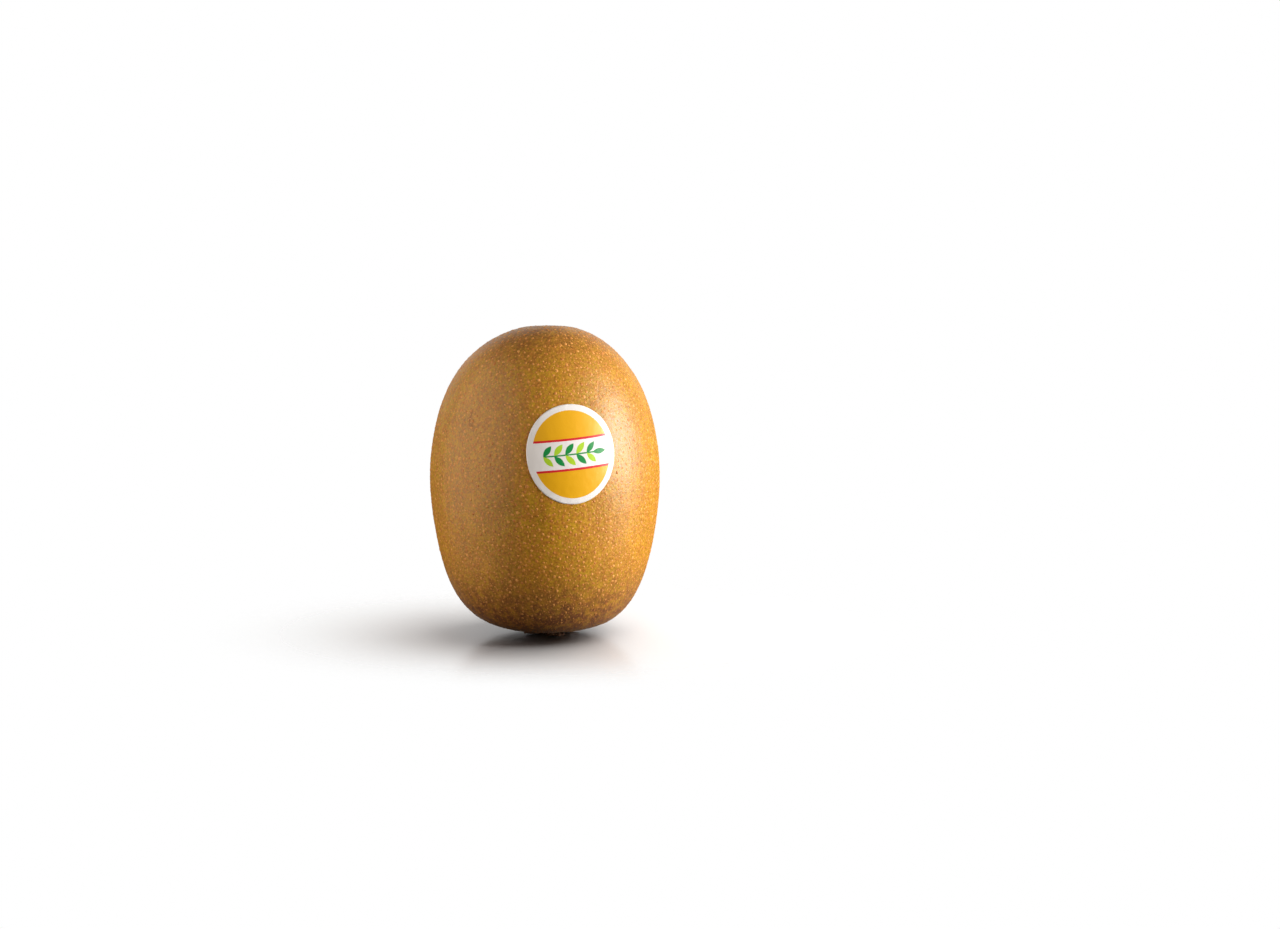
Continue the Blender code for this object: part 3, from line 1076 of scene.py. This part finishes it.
def floor_material():
    """White and smooth, and clear beyond the shadow and from below."""
    material, tree, shader = new_material("white_acrylic_floor", IOR=1.5, Roughness=0.2)
    seen = add_node(tree, "LightPath").outputs["Is Camera Ray"]
    colour = add_node(
        tree, "MixRGB", {0: seen, 1: linear("6b6560"), 2: linear("f6f5f4")}
    ).outputs[0]
    tree.links.new(colour, shader.inputs["Base Color"])
    place = add_node(tree, "TexCoord").outputs["Object"]
    squeezed = add_node(
        tree, "VectorMath", {0: place, 1: (1, FLOOR_DEPTH, 1)}, operation="MULTIPLY"
    ).outputs["Vector"]
    reach = add_node(tree, "VectorMath", {0: squeezed}, operation="LENGTH").outputs["Value"]
    fade = add_node(
        tree,
        "MapRange",
        {0: reach, 1: FLOOR_NEAR, 2: FLOOR_FAR, 3: 1, 4: 0},
        interpolation_type="SMOOTHSTEP",
    ).outputs[0]
    below = add_node(tree, "NewGeometry").outputs["Backfacing"]
    clear = add_node(tree, "Math", {0: fade, 1: below}, operation="SUBTRACT", use_clamp=True)
    tree.links.new(clear.outputs[0], shader.inputs["Alpha"])
    return material


def build_floor():
    """A wide square, which only stages the fruit and isn't part of it."""
    mesh = bpy.data.meshes.new("floor")
    signs = ((-1, -1), (1, -1), (1, 1), (-1, 1))
    corners = [(x * FLOOR_HALF, y * FLOOR_HALF, 0) for x, y in signs]
    mesh.from_pydata(corners, [], [(0, 1, 2, 3)])
    mesh.materials.append(floor_material())
    floor = bpy.data.objects.new("floor", mesh)
    bpy.context.scene.collection.objects.link(floor)
    return floor


floor = build_floor()
print("the floor fades out between", FLOOR_NEAR / MM, "and", FLOOR_FAR / MM, "mm at the sides")

# %% [markdown]
# ### The lamps
#
# The key stands low on the right. Its mirror image in the satin skin is the pale highlight beside the
# sticker, and its size sets how soft that highlight is. The fill is broad, a little warm, and stands on
# the left: it draws the soft edge there. A third lamp hangs high on the right and gives the table its
# light, and so the fruit its shadow. A photographer would keep each lamp off what it isn't meant for
# with flags. Here light linking does it: a lamp is given a collection, and lights only what is in it.

# %% The lights
def add_softbox(name, azimuth, elevation, distance, size, power, colour="ffffff"):
    """A soft square light, aimed at the fruit's middle. Azimuth 0 is on the camera's side."""
    data = bpy.data.lights.new(name, "AREA")
    data.shape = "RECTANGLE"
    data.size, data.size_y = size
    data.energy = power
    data.color = linear(colour)[:3]
    light = bpy.data.objects.new(name, data)
    a, e = math.radians(azimuth), math.radians(elevation)
    back = Vector((math.sin(a) * math.cos(e), -math.cos(a) * math.cos(e), math.sin(e)))
    light.location = Vector((0, 0, WIDEST_HEIGHT)) + back * distance
    light.rotation_mode = "QUATERNION"
    light.rotation_quaternion = back.to_track_quat("Z", "Y")
    light.visible_camera = False
    bpy.context.scene.collection.objects.link(light)
    return light


# Degrees round and up, metres away and across, watts
key = add_softbox("key_softbox", 80, 10, 0.55, (0.28, 0.36), 7.7, "fffcf8")
fill = add_softbox("fill_softbox", -72, 12, 0.8, (1.4, 1.2), 10.3, "fff5e9")
wash = add_softbox("table_wash", 104, 60, 1.1, (1.5, 1.5), 22)

# The wash lights the table alone, and the other two light the fruit alone
table_only = bpy.data.collections.new("table_only")
table_only.objects.link(floor)
wash.light_linking.receiver_collection = table_only
fruit_only = bpy.data.collections.new("fruit_only")
for piece in (skin, lenticels, fine_lenticels, sticker_film, stalk_scar, sepals, dry_styles):
    fruit_only.objects.link(piece)
for light in (key, fill):
    light.light_linking.receiver_collection = fruit_only
print("the lamps give", [round(lamp.data.energy, 1) for lamp in (key, fill, wash)], "watts")

# %% [markdown]
# ### The room
#
# What is left is the light that comes from everywhere, and what the camera sees behind the fruit. The
# camera gets plain white. The fruit gets a dim glow from above, nothing from below the table, and a
# bright backdrop from behind, which draws the thin light line at its edges and the shine on the floor.
# Each share depends only on the direction in the room, so it holds for any view.

# %% The white room
ROOM_LIGHT = 0.12
BACKDROP_LIGHT = 0.9


def build_room():
    """White to the camera. As a light it is dim, dark below the table, and bright at the back."""
    world = bpy.data.worlds.new("white_room")
    world.use_nodes = True
    tree = world.node_tree
    background = tree.nodes["Background"]
    background.inputs["Color"].default_value = (1, 1, 1, 1)
    direction = add_node(tree, "TexCoord").outputs["Generated"]
    parts = add_node(tree, "SeparateXYZ", {0: direction})
    dome = add_node(
        tree, "MapRange", {0: parts.outputs["Z"], 1: -0.05, 2: 0.9, 3: 0, 4: ROOM_LIGHT}
    ).outputs[0]
    back = add_node(
        tree,
        "MapRange",
        {0: parts.outputs["Y"], 1: 0.5, 2: 0.9, 3: 0, 4: BACKDROP_LIGHT},
        interpolation_type="SMOOTHSTEP",
    ).outputs[0]
    above = add_node(
        tree, "MapRange", {0: parts.outputs["Z"], 1: -0.05, 2: 0.02, 3: 0, 4: 1}
    ).outputs[0]
    glow = add_node(
        tree, "Math", {0: back, 1: above, 2: dome}, operation="MULTIPLY_ADD"
    ).outputs[0]
    seen = add_node(tree, "LightPath").outputs["Is Camera Ray"]
    strength = add_node(tree, "Mix", {0: seen, 2: glow, 3: 1.0}).outputs[0]
    tree.links.new(strength, background.inputs["Strength"])
    return world


bpy.context.scene.world = build_room()
bpy.context.scene.view_settings.view_transform = "Standard"
print("the backdrop is", round(BACKDROP_LIGHT / ROOM_LIGHT, 1), "times as bright as the ceiling")
